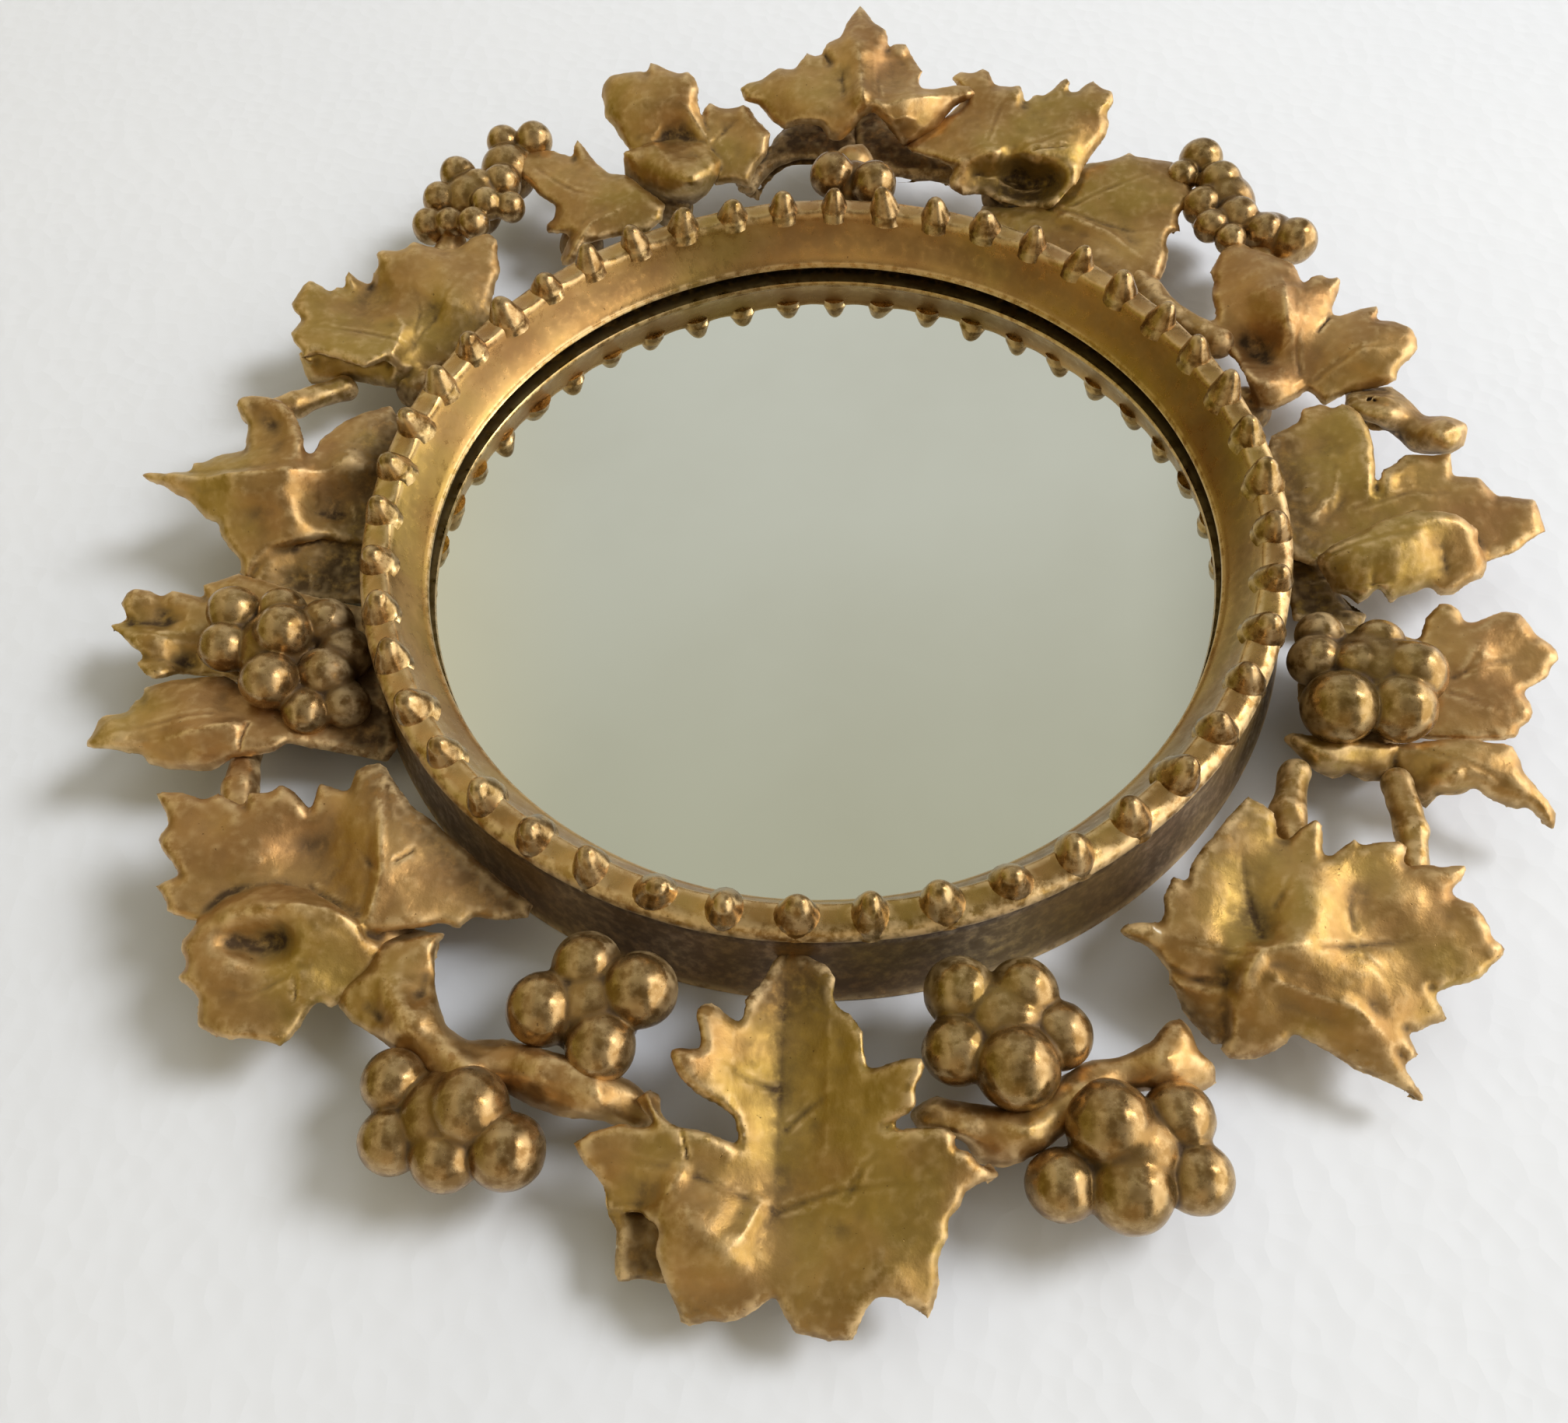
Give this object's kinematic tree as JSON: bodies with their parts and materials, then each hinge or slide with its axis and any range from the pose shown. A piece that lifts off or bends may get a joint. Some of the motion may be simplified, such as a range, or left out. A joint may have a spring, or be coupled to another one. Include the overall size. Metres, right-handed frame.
{
  "type": "carved giltwood wall mirror",
  "caption": "round wall mirror in a carved and gilded wood frame: a beaded moulded ring wreathed in vine leaves, grape clusters and knuckled stems, with a swinging wire hanger behind",
  "frame": {"origin": "centre of the ring, on the plane of its back", "axes": "+Z is the way the glass faces, +Y is the top of the mirror on the wall, +X is to the right seen from the front"},
  "size_m": [0.3, 0.314, 0.0355],
  "materials": {
    "gilded_wood": "worn water gilding over red clay and gesso on carved wood",
    "mirror": "silvered flat glass",
    "board": "bare aged softwood",
    "steel": "dull iron wire and strap"
  },
  "bodies": {
    "mirror": {"backing_board": "board", "glazing_pins": "steel", "grapes_bottom_left_inner": "gilded_wood", "grapes_bottom_left_outer": "gilded_wood", "grapes_bottom_right_inner": "gilded_wood", "grapes_bottom_right_outer": "gilded_wood", "grapes_left": "gilded_wood", "grapes_right": "gilded_wood", "grapes_top": "gilded_wood", "grapes_upper_left": "gilded_wood", "grapes_upper_right": "gilded_wood", "hanger_plate": "steel", "hanger_screws": "steel", "leaf_bottom": "gilded_wood", "leaf_left": "gilded_wood", "leaf_left_high": "gilded_wood", "leaf_left_low": "gilded_wood", "leaf_right": "gilded_wood", "leaf_right_grapes": "gilded_wood", "leaf_right_low": "gilded_wood", "leaf_right_top": "gilded_wood", "leaf_right_upper": "gilded_wood", "leaf_top": "gilded_wood", "leaf_top_left": "gilded_wood", "leaf_top_left_low": "gilded_wood", "leaf_top_right": "gilded_wood", "leaf_upper_left": "gilded_wood", "mirror_glass": "mirror", "rim_beads": "gilded_wood", "ring_frame": "gilded_wood", "stem_arch_left": "gilded_wood", "stem_arch_right": "gilded_wood", "stem_bottom_left": "gilded_wood", "stem_bottom_right": "gilded_wood", "stem_cut_right": "gilded_wood", "stem_left_high": "gilded_wood", "stem_left_low": "gilded_wood", "stem_right_low": "gilded_wood", "stem_right_outer": "gilded_wood", "stem_right_top": "gilded_wood", "stem_upper_left": "gilded_wood", "stem_upper_right": "gilded_wood"},
    "hanger": {"hanger_ring": "steel"}
  },
  "joints": [
    {"name": "hanger_swing", "type": "hinge", "parent": "mirror", "child": "hanger", "pos_m": [0, 0.0876, 0.0024], "axis": [1, 0, 0], "range_deg": [0, 140]}
  ]
}
